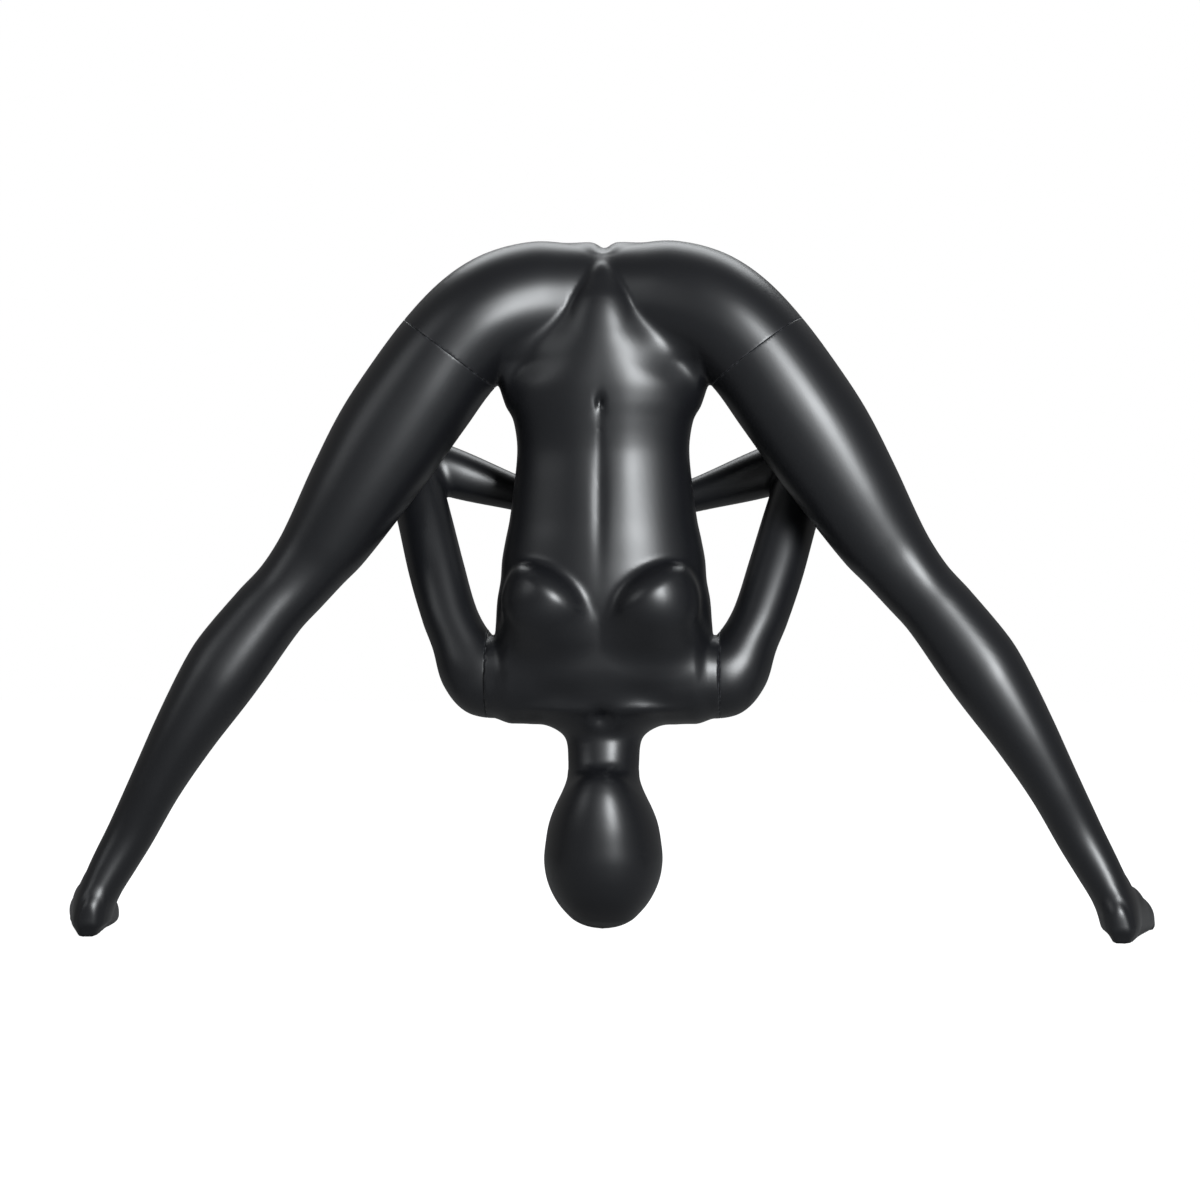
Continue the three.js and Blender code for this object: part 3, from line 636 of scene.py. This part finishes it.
paint = {
    "colour": "#0e0f12", "dust": "#303134",
    "roughness": 0.37, "smoother": 0.03, "rougher": 0.04,
    "peel": 0.3, "peelSize": 7.0, "peelDeep": 0.00006,  # ripples of 7 mm, drawn coarser than real ones so they show
    "clouds": 9.0, "rubs": 260.0, "specks": 34.0, "patches": 21.0,  # per metre: 110, 4, 30 and 48 mm apart
    "rubbed": (0.42, 0.66), "dusty": (0.55, 0.8), "speckSize": 0.035,
}


def gelCoatMaterial():
    # sprayed black lacquer over glass fibre: deep black with soft wide lights, a faint orange peel and stray dust
    material, tree, surface = newMaterial("sprayed_black_lacquer", IOR=1.5)
    place = addNode(tree, "ShaderNodeTexCoord").outputs["Object"]
    cloud = addNode(tree, "ShaderNodeTexNoise", {"Vector": place}, Scale=paint["clouds"], Detail=3.0)
    rough = addNode(tree, "ShaderNodeMapRange", {"Value": cloud.outputs["Fac"]})
    rough.inputs["To Min"].default_value = paint["roughness"] - paint["smoother"]
    rough.inputs["To Max"].default_value = paint["roughness"] + paint["rougher"]
    wear = addNode(tree, "ShaderNodeAttribute", attribute_name="edgeWear").outputs["Fac"]
    rubbed = addNode(tree, "ShaderNodeTexNoise", {"Vector": place}, Scale=paint["rubs"], Detail=4.0)
    scuff = addNode(tree, "ShaderNodeMath", {0: wear, 1: rubbed.outputs["Fac"]}, operation="MULTIPLY")
    scuff = addNode(tree, "ShaderNodeMapRange", {"Value": scuff.outputs[0]})
    scuff.inputs["From Min"].default_value, scuff.inputs["From Max"].default_value = paint["rubbed"]
    specks = addNode(tree, "ShaderNodeTexVoronoi", {"Vector": place}, Scale=paint["specks"])
    grain = addNode(tree, "ShaderNodeTexNoise", {"Vector": place}, Scale=paint["patches"], Detail=1.0)
    size = addNode(tree, "ShaderNodeMapRange", {"Value": grain.outputs["Fac"]})
    size.inputs["From Min"].default_value, size.inputs["From Max"].default_value = paint["dusty"]
    size.inputs["To Min"].default_value, size.inputs["To Max"].default_value = 0.0, paint["speckSize"]
    sides = {0: specks.outputs["Distance"], 1: size.outputs[0]}
    speck = addNode(tree, "ShaderNodeMath", sides, operation="LESS_THAN")
    marks = addNode(tree, "ShaderNodeMath", {0: scuff.outputs[0], 1: speck.outputs[0]}, operation="MAXIMUM")
    tone = addNode(tree, "ShaderNodeMix", {"Factor": marks.outputs[0]}, data_type="RGBA")
    tone.inputs["A"].default_value = colour(paint["colour"])
    tone.inputs["B"].default_value = colour(paint["dust"])
    tree.links.new(tone.outputs["Result"], surface.inputs["Base Color"])
    tree.links.new(rough.outputs[0], surface.inputs["Roughness"])
    peel = addNode(tree, "ShaderNodeTexNoise", {"Vector": place}, Scale=1000 / paint["peelSize"], Detail=1.5)
    ripple = {"Height": peel.outputs["Fac"]}
    bump = addNode(tree, "ShaderNodeBump", ripple, Strength=paint["peel"], Distance=paint["peelDeep"])
    tree.links.new(bump.outputs[0], surface.inputs["Normal"])
    return material


board = {
    "dark": "#8a6640", "pale": "#c9a677", "grain": (160, 14, 160),  # per metre: lines 6 mm apart and 70 mm long
    "from": 0.3, "to": 0.7, "bump": 0.3, "bumpDeep": 0.0001,
}


def plywoodMaterial():
    # birch plywood board, sawn and sanded: pale, with long grain and a dry, dull face
    material, tree, surface = newMaterial("sanded_birch_ply", Roughness=0.72)
    place = addNode(tree, "ShaderNodeTexCoord").outputs["Object"]
    stretched = addNode(tree, "ShaderNodeMapping", {"Vector": place})
    stretched.inputs["Scale"].default_value = board["grain"]
    grain = addNode(tree, "ShaderNodeTexNoise", {"Vector": stretched.outputs[0]}, Scale=1.0, Detail=5.0)
    tone = addNode(tree, "ShaderNodeValToRGB", {"Fac": grain.outputs["Fac"]})
    start, end = tone.color_ramp.elements
    start.position, start.color = board["from"], colour(board["dark"])
    end.position, end.color = board["to"], colour(board["pale"])
    tree.links.new(tone.outputs[0], surface.inputs["Base Color"])
    height = {"Height": grain.outputs["Fac"]}
    bump = addNode(tree, "ShaderNodeBump", height, Strength=board["bump"], Distance=board["bumpDeep"])
    tree.links.new(bump.outputs[0], surface.inputs["Normal"])
    return material


plating = {"dark": "#8f9398", "pale": "#c3c7cb", "spangle": 120.0, "smooth": 0.3, "dull": 0.5}  # 8 mm clouds


def zincMaterial():
    # mild steel plate, punched and zinc plated: grey, slightly bluish, with a cloudy crystalline sheen
    material, tree, surface = newMaterial("zinc_plated_steel", Metallic=1.0)
    place = addNode(tree, "ShaderNodeTexCoord").outputs["Object"]
    cloud = addNode(tree, "ShaderNodeTexNoise", {"Vector": place}, Scale=plating["spangle"], Detail=4.0)
    tone = addNode(tree, "ShaderNodeValToRGB", {"Fac": cloud.outputs["Fac"]})
    tone.color_ramp.elements[0].color = colour(plating["dark"])
    tone.color_ramp.elements[1].color = colour(plating["pale"])
    tree.links.new(tone.outputs[0], surface.inputs["Base Color"])
    rough = addNode(tree, "ShaderNodeMapRange", {"Value": cloud.outputs["Fac"]})
    rough.inputs["To Min"].default_value = plating["smooth"]
    rough.inputs["To Max"].default_value = plating["dull"]
    tree.links.new(rough.outputs[0], surface.inputs["Roughness"])
    return material


materials = {"gelCoat": gelCoatMaterial(), "plywood": plywoodMaterial(), "zinc": zincMaterial()}

studio = {
    "azimuth": 3.5,  # degrees
    "distance": 3.9, "height": 0.43, "across": 0.002,  # of the camera, metres
    "lens": 92.86,  # mm
    "background": 1.0, "surroundings": 0.18,  # brightness of the white seen, and of the room that lights the figure
    "paper": "#8e8e8e", "paperGlow": 0.98,  # floor, dim to the figure and white to the camera
    "floor": 9, "floorPoints": 24,  # metres from the middle to each edge, points along an edge
    "lampTint": (0.95, 0.98, 1.0),
    "lamps": [  # name, place, aimed at, size, watts
        ("keyRight", (1.5, -3.4, 1.5), (0, 0, 0.45), (1.1, 1.6), 225),
        ("fillLeft", (-2.8, -2.2, 2.2), (0, 0, 0.5), (1.8, 1.8), 19),
        ("topBack", (0.0, 2.0, 3.0), (0, 0, 0.5), (3.0, 1.4), 52),
    ],
}


def setCamera():  # level, turned a little to the right of straight on
    turn = math.radians(studio["azimuth"])
    data = bpy.data.cameras.new("view")
    data.lens = studio["lens"]
    camera = bpy.data.objects.new("view", data)
    bpy.context.scene.collection.objects.link(camera)
    right = np.array([math.cos(turn), math.sin(turn), 0])
    back = np.array([math.sin(turn), -math.cos(turn), 0]) * studio["distance"]
    camera.location = back + right * studio["across"] + [0, -body["originY"] / 1000, studio["height"]]
    camera.rotation_euler = (math.pi / 2, 0, turn)
    bpy.context.scene.camera = camera


def addLamp(name, place, target, size, power):  # oblong soft lamp turned to face its target
    data = bpy.data.lights.new(name, "AREA")
    data.shape = "RECTANGLE"
    data.size, data.size_y = size
    data.energy = power
    data.color = studio["lampTint"]
    lamp = bpy.data.objects.new(name, data)
    lamp.location = place
    x, y, z = np.array(place) - np.array(target)
    lamp.rotation_euler = (math.atan2(math.hypot(x, y), z), 0, math.atan2(y, x) + math.pi / 2)
    bpy.context.scene.collection.objects.link(lamp)


def setStudio():  # pale room: the camera sees plain white, the figure is lit by a dimmer white and soft lamps
    world = bpy.data.worlds.new("studio")
    bpy.context.scene.world = world
    world.use_nodes = True
    seen = addNode(world.node_tree, "ShaderNodeLightPath").outputs["Is Camera Ray"]
    level = addNode(world.node_tree, "ShaderNodeMapRange", {"Value": seen})
    level.inputs["To Min"].default_value = studio["surroundings"]
    level.inputs["To Max"].default_value = studio["background"]
    world.node_tree.links.new(level.outputs[0], world.node_tree.nodes["Background"].inputs["Strength"])
    world.node_tree.nodes["Background"].inputs["Color"].default_value = (1, 1, 1, 1)
    n = studio["floorPoints"]
    u = np.linspace(-studio["floor"], studio["floor"], n)
    grid = np.stack(np.meshgrid(u, u, indexing="ij"), -1).reshape(-1, 2)
    points = np.concatenate([grid, np.zeros((len(grid), 1))], 1)
    i, j = np.meshgrid(np.arange(n - 1), np.arange(n - 1), indexing="ij")
    a = (i * n + j).ravel()
    floor = meshOf("floor", points, np.stack([a, a + n, a + n + 1, a + 1], 1))
    paper, tree, surface = newMaterial("white_paper_roll", Roughness=1.0, Specular_IOR_Level=0.0)
    surface.inputs["Base Color"].default_value = colour(studio["paper"])
    surface.inputs["Emission Color"].default_value = (1, 1, 1, 1)
    seen = addNode(tree, "ShaderNodeLightPath").outputs["Is Camera Ray"]
    glow = addNode(tree, "ShaderNodeMath", {0: seen}, operation="MULTIPLY")
    glow.inputs[1].default_value = studio["paperGlow"]
    tree.links.new(glow.outputs[0], surface.inputs["Emission Strength"])
    floor.data.materials.append(paper)
    for lamp in studio["lamps"]:
        addLamp(*lamp)
    bpy.context.scene.view_settings.view_transform = "Standard"


setCamera()
print("camera and frame ready")


def makeSkin(distance, low, high, step, planes):  # from a distance to a cut and lipped skin
    points, quads = netSurface(distance, low, high, step)
    return cutAndLip(settle(distance, points, quads), quads, planes)


def mirrored(skin):  # left piece from the right one, its faces turned back outwards
    points, faces, wear = skin
    return points * mirror, [face[::-1] for face in faces], wear


torsoSeams = seamPlanes("thigh", "hip", 1, (1, -1)) + seamPlanes("shoulder", "upperArm", 1, (1, -1))
torsoSkin = makeSkin(torsoDistance, (-275, -25, 5), (275, 232, 900), body["torsoStep"], torsoSeams)
finishSkin("torsoSkin", *torsoSkin, "torso", "torso_shell")

legSkin = makeSkin(legDistance, (130, -5, 0), (745, 250, 800), body["legStep"], seamPlanes("thigh", "leg", -1))
finishSkin("legSkinRight", *legSkin, "leg_right", "leg_shell_right")
finishSkin("legSkinLeft", *mirrored(legSkin), "leg_left", "leg_shell_left")

armSeam = seamPlanes("shoulder", "upperArm", -1)
armSkin = makeSkin(armDistance, (0, 55, 270), (305, 322, 660), body["armStep"], armSeam)
finishSkin("armSkinRight", *armSkin, "arm_right", "arm_shell_right")
finishSkin("armSkinLeft", *mirrored(armSkin), "arm_left", "arm_shell_left")
print("skins made")

for name, node in frame["nodes"].items():
    made = "plywood" if "board" in name else "gelCoat" if "shell" in name else "zinc"
    node.data.materials.clear()
    node.data.materials.append(materials[made])

setStudio()
print("studio set")
